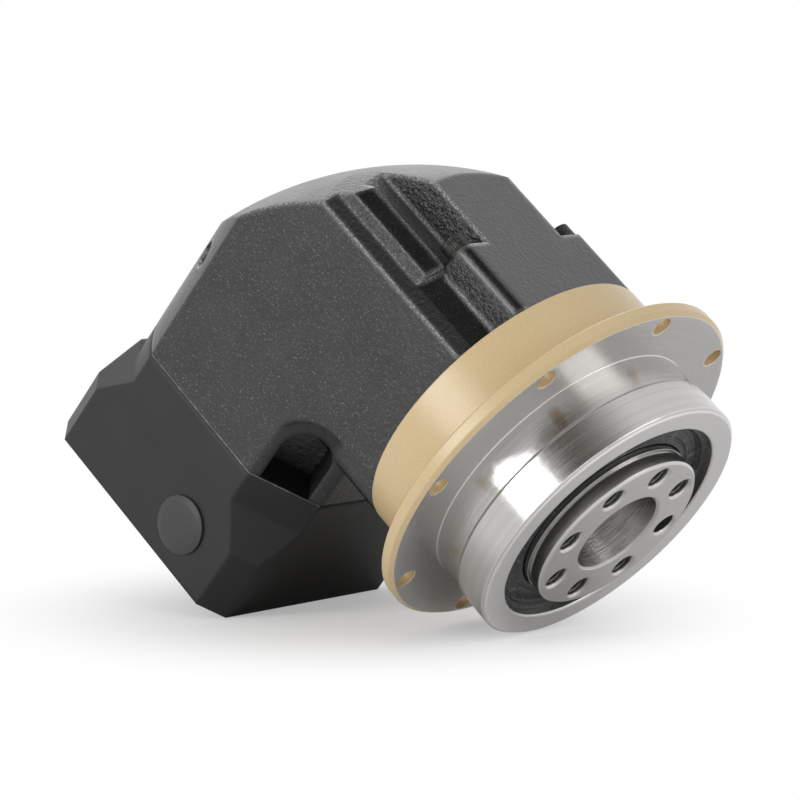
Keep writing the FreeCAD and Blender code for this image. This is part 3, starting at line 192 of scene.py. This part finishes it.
class Finish:
    """A material under construction: its tree, its object coordinates and its shader."""

    def __init__(self, name, constants):
        self.material = bpy.data.materials.new(name)
        self.material.use_nodes = True
        tree = self.material.node_tree
        self.shader = tree.nodes["Principled BSDF"]
        self.start = Signal(tree)
        self.place = self.start.node("ShaderNodeTexCoord", out="Object")
        self.x = self.start.node("ShaderNodeSeparateXYZ", None, {"Vector": self.place})
        self.y = self.x.other("Y")
        self.z = self.x.other("Z")
        for socket, value in constants.items():
            self.shader.inputs[socket].default_value = value

    def feed(self, socket, signal):
        """Link a signal to a socket of the shader."""
        self.start.tree.links.new(signal.socket, self.shader.inputs[socket])

    def noise(self, size, detail=2.0, rough=0.5, place=None):
        """Noise whose features are about size metres across."""
        return self.start.node("ShaderNodeTexNoise", None, {
            "Vector": place or self.place, "Scale": 1 / size, "Detail": detail, "Roughness": rough})

    def cells(self, size):
        """Distance from the middle of soft cells that are about size metres across."""
        return self.start.node("ShaderNodeTexVoronoi", {"feature": "SMOOTH_F1"}, {
            "Vector": self.place, "Scale": 1 / size, "Smoothness": 0.6})

    def vector(self, x, y, z):
        """A vector from three numbers or signals."""
        return self.start.node("ShaderNodeCombineXYZ", None, {"X": x, "Y": y, "Z": z})

    def radius(self):
        """Distance from the output axis."""
        return self.start.math("SQRT", self.y * self.y + self.z * self.z)

    def turn(self):
        """Angle round the output axis."""
        return self.start.math("ARCTAN2", self.y, self.z)

    def lathe_marks(self, pitch):
        """Rings left by turning: noise along the axis and the radius that hardly changes round the axis."""
        drift = 0.06 * MM
        rings = self.vector(self.x, self.radius(), self.turn() * drift)
        return self.noise(pitch, detail=4.0, rough=0.65, place=rings)

    def flat_normal(self):
        """The normal of the face itself."""
        return self.start.node("ShaderNodeNewGeometry", out="True Normal")

    def facing(self, axis):
        """1 where the surface faces along an axis, either way, and 0 where it runs along it."""
        return self.flat_normal().share_of(axis).absolute()

    def rounded(self, radius):
        """The surface's normal as if sharp edges had that radius."""
        return self.start.node("ShaderNodeBevel", {"samples": 6}, {"Radius": radius})

    def bend(self, soft):
        """How far a rounded normal turns from the flat one: 0 on a face, more towards its edges."""
        return 1 - soft.share_of(self.flat_normal())

    def hollowed(self, normal, amount):
        """The normal leaned out to the nearer side, as where a flat stands for a shallow hollow."""
        lean = self.vector(0.0, self.start.math("SIGN", self.y) * amount, 0.0)
        return self.start.vector_math("NORMALIZE", self.start.vector_math("ADD", normal, lean))

    def bump(self, height, strength, depth, normal=None):
        """A normal that follows a height of up to depth metres, on the surface's own or another normal."""
        inputs = {"Height": height, "Strength": strength, "Distance": depth}
        if normal:
            inputs["Normal"] = normal
        return self.start.node("ShaderNodeBump", None, inputs)


def casting_paint():
    """Gloss black paint on cast metal.

    It has a leathery grain and pale flecks of painted highlight, most of them on the big side faces, and a
    painted sheen on faces that look up. The flutes are smooth and darker with painted shade, the bosses
    between them lumpy, and edges that face up carry a grainy painted highlight.
    """
    # Near-black in the flutes is painted shade, darker than the paint elsewhere
    flute_shade_black = grey(0.003)
    black = grey(0.021)
    # Here this grey is painted sheen on faces that look up
    dust_and_sheen_grey = grey(0.060)
    # Pale flecks of painted highlight, for the sparkle of the grain
    painted_sparkle_grey = (0.16, 0.16, 0.157, 1)
    # Light grey of painted highlights on edges that face up
    painted_glint_grey = (0.55, 0.55, 0.545, 1)
    top_edge = 0.4 * MM
    finish = Finish("casting_paint", {"Specular IOR Level": 0.5})
    upward = finish.facing(UPWARD).ramp(0.90, 0.98)
    sideward = finish.facing(ACROSS).ramp(0.90, 0.98)
    along = 1 - finish.facing(OUTPUT_AXIS).ramp(0.05, 0.20)
    outer = finish.y.absolute().over(CORNER_SIDE)
    smooth = outer * finish.z.absolute().over(CORNER_HEIGHT) * along * (1 - upward) * (1 - sideward)
    upper_corner = outer * finish.z.over(CORNER_HEIGHT) * (1 - finish.z.over(HOUSING_TOP - top_edge))
    lumpy = upper_corner * (1 - smooth)
    soft = finish.rounded(2.0 * MM)
    edge = finish.bend(soft).ramp(0.02, 0.12)
    grain = finish.noise(0.5 * MM, detail=3.0)
    patches = finish.noise(9 * MM, detail=3.0).ramp(0.3, 0.7)
    # Painted highlight: pale flecks, most of them on the side faces
    painted_sparkle = finish.noise(0.34 * MM, detail=0.0).ramp(0.66, 0.84) * (sideward * 0.8 + 0.2)
    # Painted highlight along rounded edges that face up, grainy
    painted_glints = edge * soft.share_of(UPWARD).ramp(0.10, 0.40) * (grain.ramp(0.46, 0.60) * 0.7 + 0.3)
    # Painted shade: the flutes blend towards near-black
    paint = (patches * 0.3 + (1 - smooth) * 0.7).blend(flute_shade_black, black)
    # Painted sheen: faces that look up are lighter
    painted_sheen = (upward * 0.6).blend(paint, dust_and_sheen_grey)
    with_painted_sparkle = painted_sparkle.blend(painted_sheen, painted_sparkle_grey)
    # Painted highlight, weaker in the flutes
    painted_glint_share = painted_glints * (1 - smooth * 0.75)
    finish.feed("Base Color", painted_glint_share.blend(with_painted_sparkle, painted_glint_grey))
    finish.feed("Roughness", 0.29 + patches * 0.05 - smooth * 0.10 - edge * 0.10 - lumpy * 0.06)
    skin = finish.cells(1.0 * MM) * 0.7 + grain
    height = skin * (1 - smooth * 0.82 + lumpy * 2.0)
    hollow = finish.hollowed(soft, smooth * 0.5)
    finish.feed("Normal", finish.bump(height, strength=0.55, depth=0.22 * MM, normal=hollow))
    return finish.material


def satin_black():
    """Satin black on machined aluminium, faintly grained; where it meets the casting it is rubbed bare,
    lightened further as a painted highlight.
    """
    dark = (0.006, 0.006, 0.0063, 1)
    light = (0.009, 0.009, 0.0093, 1)
    # Bare metal at the parting edge, made lighter as a painted highlight
    bare_edge_highlight = (0.62, 0.62, 0.61, 1)
    edge_highlight_start = PARTING - 0.30 * MM
    edge_highlight_full = PARTING - 0.12 * MM
    finish = Finish("satin_black", {"Specular IOR Level": 0.45})
    grain = finish.noise(0.22 * MM)
    cloud = finish.noise(14 * MM, detail=3.0)
    scuffs = finish.noise(2.5 * MM, detail=4.0).ramp(0.45, 0.75)
    sideward = finish.facing(ACROSS).ramp(0.35, 0.65)
    # Rubbed bare, with a painted highlight, along the parting edge on the side faces
    edge = finish.z.ramp(edge_highlight_start, edge_highlight_full) * sideward * (0.35 + scuffs * 0.65)
    black = cloud.ramp(0.3, 0.7).blend(dark, light)
    finish.feed("Base Color", edge.blend(black, bare_edge_highlight))
    finish.feed("Roughness", 0.40 + cloud * 0.08 + grain * 0.05 - edge * 0.12)
    soft = finish.rounded(1.2 * MM)
    finish.feed("Normal", finish.bump(grain, strength=0.16, depth=0.05 * MM, normal=soft))
    return finish.material


def cream_and_steel():
    """Cream paint on the ring body and flange rim, bare turned steel on the flange's face and pilot."""
    cream = (0.61, 0.465, 0.255, 1)
    light_cream = (0.70, 0.555, 0.34, 1)
    dark_steel = (0.47, 0.46, 0.445, 1)
    light_steel = (0.58, 0.57, 0.555, 1)
    rim_steel = (0.70, 0.69, 0.675, 1)
    # Painted highlight on the steel's rounded edges
    steel_edge_highlight = (0.86, 0.85, 0.83, 1)
    paint_end = -0.02 * MM
    rim_start = PILOT_FRONT - 0.3 * MM
    finish = Finish("cream_and_steel", {"Specular IOR Level": 0.5})
    bare = finish.x.over(paint_end)
    rim = finish.x.over(rim_start)
    soft = finish.rounded(0.45 * MM)
    edge = finish.bend(soft).ramp(0.02, 0.10)
    marks = finish.lathe_marks(0.10 * MM)
    wide_marks = finish.lathe_marks(1.2 * MM)
    peel = finish.noise(0.45 * MM)
    sparkle = finish.noise(0.16 * MM, detail=0.0).ramp(0.6, 0.75)
    paint = sparkle.blend(cream, light_cream)
    steel = (marks * 0.6 + wide_marks * 0.4).ramp(0.3, 0.7).blend(dark_steel, light_steel)
    # Painted highlight: the bare metal's edges are made much lighter
    metal = edge.blend(rim.blend(steel, rim_steel), steel_edge_highlight)
    finish.feed("Base Color", bare.blend(paint, metal))
    finish.feed("Metallic", bare)
    metal_roughness = marks * 0.10 + rim * 0.32 + 0.08
    paint_roughness = peel * 0.10 + 0.24
    finish.feed("Roughness", bare * metal_roughness + (1 - bare) * paint_roughness)
    height = bare * marks + (1 - bare) * peel * 0.35
    finish.feed("Normal", finish.bump(height, strength=0.85, depth=0.03 * MM, normal=soft))
    return finish.material


def turned_steel():
    """Bare steel with fine turning rings, which are deeper in the bore."""
    dark = (0.52, 0.51, 0.495, 1)
    light = (0.63, 0.62, 0.605, 1)
    bore_steel = (0.52, 0.51, 0.49, 1)
    bore_edge = BORE_RADIUS + 0.3 * MM
    finish = Finish("turned_steel", {"Metallic": 1.0})
    marks = finish.lathe_marks(0.09 * MM)
    wide_marks = finish.lathe_marks(1.0 * MM)
    bored = 1 - finish.radius().ramp(BORE_RADIUS, bore_edge)
    steel = (marks * 0.5 + wide_marks * 0.5).ramp(0.3, 0.7).blend(dark, light)
    finish.feed("Base Color", bored.blend(steel, bore_steel))
    finish.feed("Roughness", marks * 0.14 + wide_marks * 0.06 - bored * 0.06 + 0.12)
    height = marks * (1 + bored * 5.5)
    soft = finish.rounded(0.3 * MM)
    finish.feed("Normal", finish.bump(height, strength=0.60, depth=0.03 * MM, normal=soft))
    return finish.material


def cut_thread():
    """Steel of tapped threads with a film of oil, dark with painted shade of the holes they line."""
    # Painted shade: far darker than steel, for the shade inside the holes
    dark = (0.06, 0.058, 0.056, 1)
    light = (0.15, 0.146, 0.14, 1)
    finish = Finish("cut_thread", {"Metallic": 1.0})
    film = finish.noise(0.4 * MM, detail=3.0)
    finish.feed("Base Color", film.ramp(0.3, 0.7).blend(dark, light))
    finish.feed("Roughness", film * 0.2 + 0.24)
    finish.feed("Normal", finish.bump(film, strength=0.2, depth=0.04 * MM))
    return finish.material


def ground_steel():
    """Hardened steel of gears, shafts and bearings, ground and lightly oiled."""
    dark = (0.44, 0.43, 0.42, 1)
    light = (0.55, 0.545, 0.535, 1)
    finish = Finish("ground_steel", {"Metallic": 1.0})
    film = finish.noise(3 * MM, detail=3.0)
    scratches = finish.noise(0.12 * MM, detail=3.0)
    finish.feed("Base Color", film.ramp(0.35, 0.65).blend(dark, light))
    finish.feed("Roughness", film * 0.12 + scratches * 0.10 + 0.16)
    finish.feed("Normal", finish.bump(scratches, strength=0.06, depth=0.02 * MM))
    return finish.material


def seal_rubber():
    """Black rubber with moulded rings, short ribs across them, and a dusting of grease."""
    black = (0.018, 0.018, 0.019, 1)
    # Here this grey is the dusting of grease
    dust_and_sheen_grey = (0.22, 0.22, 0.217, 1)
    rib_count = 9.0
    finish = Finish("seal_rubber", {"Specular IOR Level": 0.5})
    rings = finish.noise(0.45 * MM, detail=1.0, place=finish.vector(finish.x, finish.radius(), 0.0))
    grime = finish.noise(1.4 * MM, detail=5.0, rough=0.6)
    ribs = (finish.turn() * rib_count).sine().ramp(0.965, 0.985)
    dust = grime.ramp(0.5, 0.8) * 0.8
    finish.feed("Base Color", dust.blend(black, dust_and_sheen_grey))
    finish.feed("Roughness", 0.26 + grime * 0.26)
    height = rings * 0.9 + grime * 0.4 - ribs * 1.2
    finish.feed("Normal", finish.bump(height, strength=0.8, depth=0.30 * MM))
    return finish.material


def plug_black():
    """Satin black plug, a little lighter than the adapter round it."""
    dark = (0.028, 0.028, 0.029, 1)
    light = (0.034, 0.034, 0.035, 1)
    finish = Finish("plug_black", {"Specular IOR Level": 0.5})
    grain = finish.noise(0.25 * MM)
    finish.feed("Base Color", grain.ramp(0.3, 0.7).blend(dark, light))
    finish.feed("Roughness", grain * 0.08 + 0.40)
    soft = finish.rounded(0.3 * MM)
    finish.feed("Normal", finish.bump(grain, strength=0.08, depth=0.04 * MM, normal=soft))
    return finish.material


def black_oxide():
    """Blackened screw steel rubbed a little grey, its heads knurled with ridges along the screw."""
    black = (0.022, 0.021, 0.019, 1)
    worn_grey = (0.075, 0.073, 0.068, 1)
    ridge_count = 36.0
    finish = Finish("black_oxide", {"Metallic": 0.8})
    wear = finish.noise(0.7 * MM, detail=4.0)
    side = finish.y.absolute() - SCREW_SIDE
    above = finish.z.absolute() - SCREW_HEIGHT
    knurl = (finish.start.math("ARCTAN2", above, side) * ridge_count).sine()
    finish.feed("Base Color", wear.ramp(0.4, 0.75).blend(black, worn_grey))
    finish.feed("Roughness", wear * 0.2 + 0.28)
    height = knurl * 0.5 + wear * 0.4
    soft = finish.rounded(0.3 * MM)
    finish.feed("Normal", finish.bump(height, strength=0.6, depth=0.12 * MM, normal=soft))
    return finish.material


def plated_steel():
    """Bright zinc plating of the oil plug."""
    dark = (0.52, 0.50, 0.44, 1)
    light = (0.66, 0.64, 0.58, 1)
    finish = Finish("plated_steel", {"Metallic": 1.0})
    bloom = finish.noise(1.2 * MM, detail=3.0)
    finish.feed("Base Color", bloom.ramp(0.35, 0.65).blend(dark, light))
    finish.feed("Roughness", bloom * 0.15 + 0.20)
    finish.feed("Normal", finish.bump(bloom, strength=0.08, depth=0.05 * MM))
    return finish.material


def dress(material, *names):
    """Give CAD nodes a material."""
    for name in names:
        mesh = NODES[name].data
        mesh.materials.clear()
        mesh.materials.append(material)


def closed_sleeves(name, points, material, body):
    """One mesh of sleeves from points of shape (sleeves, rows, columns, 3): rows and columns both close."""
    count, rows, columns = points.shape[:3]
    here = np.arange(rows * columns).reshape(rows, columns)
    next_row = np.roll(here, -1, axis=0)
    next_column = np.roll(here, -1, axis=1)
    opposite = np.roll(next_row, -1, axis=1)
    quads = np.stack([here, next_row, opposite, next_column], -1).reshape(1, -1, 4)
    first_points = np.arange(count).reshape(-1, 1, 1) * rows * columns
    mesh = bpy.data.meshes.new(name)
    mesh.from_pydata(points.reshape(-1, 3), [], (quads + first_points).reshape(-1, 4))
    mesh.polygons.foreach_set("use_smooth", np.ones(len(mesh.polygons), dtype=bool))
    mesh.materials.append(material)
    mesh.update()
    piece = bpy.data.objects.new(name, mesh)
    bpy.context.scene.collection.objects.link(piece)
    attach(piece, body)


def output_threads(material):
    """Thread sleeves in the output holes, all but the first, which takes a dowel.

    Inside, the radius falls and rises as a triangle wave of turns along the hole less the angle. Outside, it
    is the hole's own radius. The profile runs down the inside and back up the outside, so a sleeve is closed.
    """
    hole_count = 8
    pitch = 0.8 * MM
    height = 0.42 * MM
    depth = 9.0 * MM
    chamfer = 0.5 * MM
    fit = 0.01 * MM
    steps_round = 40
    steps_along = 120
    full_turn = 2 * np.pi
    hole, angle, along = np.meshgrid(
        np.arange(1, hole_count) * full_turn / hole_count,
        np.linspace(0, full_turn, steps_round, endpoint=False),
        np.concatenate([np.linspace(chamfer, depth, steps_along), [depth, chamfer]]),
        indexing="ij")
    turns = along / pitch - angle / full_turn
    wave = np.abs(2 * (turns - np.floor(turns)) - 1)
    run_in = np.clip((along - chamfer) / chamfer, 0, 1)
    radius = OUTPUT_HOLE - fit - height * wave * run_in
    # The profile's last two points are outside
    radius[..., -2:] = OUTPUT_HOLE - fit / 2
    points = np.stack([
        OUTPUT_FACE - along,
        OUTPUT_CIRCLE * np.cos(hole) + radius * np.cos(angle),
        OUTPUT_CIRCLE * np.sin(hole) + radius * np.sin(angle)], -1)
    closed_sleeves("output_threads", points, material, "output")


def seen_rays(camera_ray):
    """1 for the rays that should meet a white studio: camera, glossy and transmission rays."""
    mirrored = camera_ray.other("Is Glossy Ray") + camera_ray.other("Is Transmission Ray")
    return camera_ray.math("ADD", camera_ray, mirrored, clamp=True)


def floor_white():
    """Pale floor: plain white far away, and its own shaded colour more and more towards the gearbox."""
    least_white = 0.34
    material = bpy.data.materials.new("floor_white")
    material.use_nodes = True
    tree = material.node_tree
    tree.nodes.clear()
    start = Signal(tree)
    place = start.node("ShaderNodeTexCoord", out="Object")
    camera_ray = start.node("ShaderNodeLightPath", out="Is Camera Ray")
    mirror_ray = seen_rays(camera_ray) - camera_ray
    seen_white = place.distance(SEEN_SHADOW).ramp(30 * MM, 90 * MM) * (1 - least_white) + least_white
    mirrored_white = place.distance(MIRRORED_SHADOW).ramp(80 * MM, 160 * MM)
    white = camera_ray * seen_white + mirror_ray * mirrored_white
    shaded = start.node("ShaderNodeBsdfDiffuse", None, {"Color": grey(0.92)})
    glow = start.node("ShaderNodeEmission", None, {"Color": grey(1), "Strength": 1.0})
    lit = start.node("ShaderNodeMixShader", None, {0: white, 1: shaded, 2: glow})
    clear = start.node("ShaderNodeBsdfTransparent")
    below = start.node("ShaderNodeNewGeometry", out="Backfacing")
    surface = start.node("ShaderNodeMixShader", None, {0: below, 1: lit, 2: clear})
    start.node("ShaderNodeOutputMaterial", None, {"Surface": surface})
    return material


def studio_floor():
    """A square of floor under the tilted gearbox, which can't be seen from below."""
    half = 3.0
    steps = np.array([[-1, -1], [1, -1], [1, 1], [-1, 1]]) * half
    directions = np.array([FLOOR_ALONG, FLOOR_ACROSS])
    mesh = bpy.data.meshes.new("floor")
    mesh.from_pydata(np.array(REST_HEEL) + steps @ directions, [], [(0, 1, 2, 3)])
    mesh.materials.append(floor_white())
    floor = bpy.data.objects.new("floor", mesh)
    bpy.context.scene.collection.objects.link(floor)


def studio_walls():
    """White all round, and for mirroring surfaces dark overhead on the camera's side."""
    white = grey(1)
    dark = (0.10, 0.085, 0.075, 1)
    even_light = 0.60
    world = bpy.data.worlds.new("studio")
    world.use_nodes = True
    world.node_tree.nodes.clear()
    start = Signal(world.node_tree)
    camera_ray = start.node("ShaderNodeLightPath", out="Is Camera Ray")
    outward = start.node("ShaderNodeTexCoord", out="Generated")
    overhead = outward.share_of(FLOOR_UP).ramp(0.50, 0.66)
    ceiling = overhead * outward.share_of(CAMERA_SIDE).ramp(0.05, 0.60)
    walls = (ceiling * (1 - camera_ray)).blend(white, dark)
    even = start.node("ShaderNodeBackground", None, {"Color": white, "Strength": even_light})
    shown = start.node("ShaderNodeBackground", None, {"Color": walls, "Strength": 1.0})
    mixed = start.node("ShaderNodeMixShader", None, {0: seen_rays(camera_ray), 1: even, 2: shown})
    start.node("ShaderNodeOutputWorld", None, {"Surface": mixed})
    bpy.context.scene.world = world


def soft_box(name, direction, size, brightness):
    """A rectangular lamp that faces the gearbox, level with the floor; a brightness of 1 is white."""
    reach = 0.9
    data = bpy.data.lights.new(name, "AREA")
    data.shape = "RECTANGLE"
    data.size, data.size_y = size
    data.energy = brightness * math.pi * data.size * data.size_y
    back = Vector(direction).normalized()
    right = FLOOR_UP.cross(back).normalized()
    turn = Matrix((right, back.cross(right), back)).transposed()
    lamp = bpy.data.objects.new(name, data)
    lamp.matrix_world = Matrix.Translation(MIDDLE + back * reach) @ turn.to_4x4()
    lamp.visible_camera = False
    bpy.context.scene.collection.objects.link(lamp)


def photo_camera():
    """The camera at the photograph's place, with no shift."""
    data = bpy.data.cameras.new("photo_camera")
    data.lens = LENS_MM
    data.sensor_fit = "HORIZONTAL"
    data.sensor_width = SENSOR_MM
    camera = bpy.data.objects.new("photo_camera", data)
    turn = Matrix((CAMERA_RIGHT, CAMERA_UP, CAMERA_BACK)).transposed()
    camera.matrix_world = Matrix.Translation(CAMERA_PLACE) @ turn.to_4x4()
    bpy.context.scene.collection.objects.link(camera)
    bpy.context.scene.camera = camera


# Every node gets ground steel first, which the gears, shafts and bearings keep
dress(ground_steel(), *NODES)
dress(casting_paint(), "gear_housing")
dress(satin_black(), "motor_adapter", "clamp_collar")
dress(cream_and_steel(), "ring_gear_housing")
dress(turned_steel(), "output_carrier", "carrier_plate")
dress(seal_rubber(), "output_seal", "input_seal")
dress(plug_black(), "access_plug")
dress(plated_steel(), "oil_plug")
dress(black_oxide(), "ring_screws", "ring_screw_washers", "adapter_screws", "clamp_screw")
output_threads(cut_thread())

# The studio
bpy.context.scene.view_settings.view_transform = "Standard"
studio_floor()
studio_walls()
soft_box("left_soft_box", direction=(-0.39, -0.91, 0.09), size=(0.28, 0.5), brightness=7.0)
soft_box("back_soft_box", direction=(-0.83, 0.54, 0.06), size=(0.6, 0.5), brightness=1.2)
soft_box("right_soft_box", direction=(0.45, 0.10, 0.89), size=(0.5, 0.5), brightness=1.6)
photo_camera()
